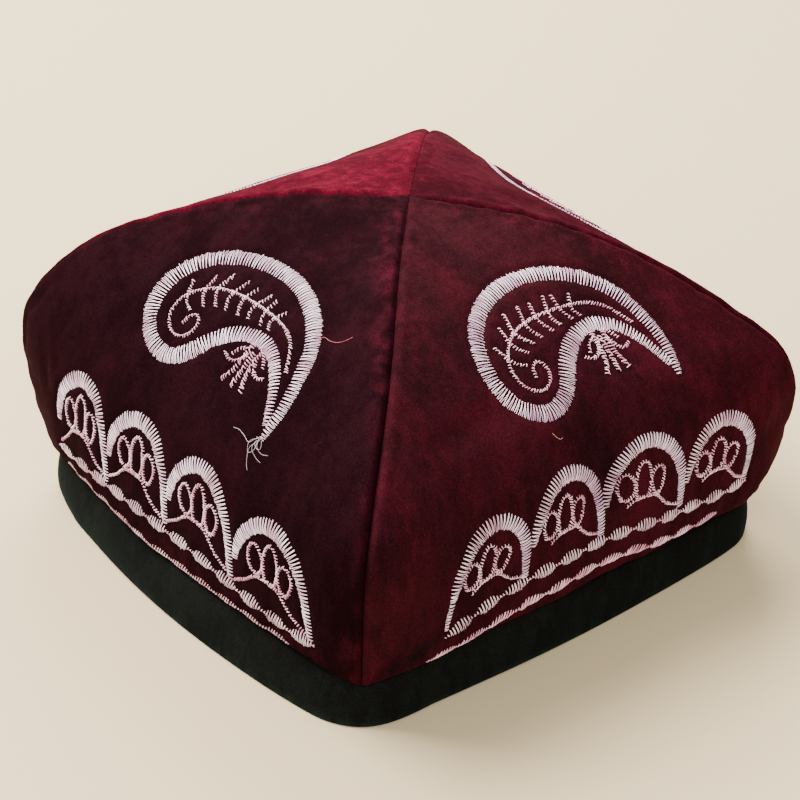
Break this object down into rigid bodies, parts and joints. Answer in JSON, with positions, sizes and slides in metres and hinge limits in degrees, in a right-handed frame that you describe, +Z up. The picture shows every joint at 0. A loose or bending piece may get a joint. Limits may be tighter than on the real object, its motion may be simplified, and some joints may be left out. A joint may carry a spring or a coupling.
{
  "type": "embroidered velvet tubeteika skullcap",
  "caption": "Soft pyramid-crowned skullcap: padded velvet gores meet in raised corner seams above a plain velvet band, open below for the head.",
  "frame": {"origin": "centre of the bounding box at the rim, which rests on z = 0", "axes": "+Z up through the apex of the crown; -Y out of the front gore, +X out of the right gore, so the corner seams stand over the diagonals"},
  "size_m": [0.1677, 0.1694, 0.1015],
  "materials": {
    "crown_velvet": "burgundy cotton velvet with a crushed nap, embroidered with pale thread",
    "band_velvet": "very dark green cotton velvet",
    "embroidery_thread": "pale lilac satin-stitch thread, on the crown's embroidery only"
  },
  "bodies": {
    "root": {"crown_panel_front": "crown_velvet", "crown_panel_right": "crown_velvet", "crown_panel_back": "crown_velvet", "crown_panel_left": "crown_velvet", "band": "band_velvet"}
  },
  "joints": []
}
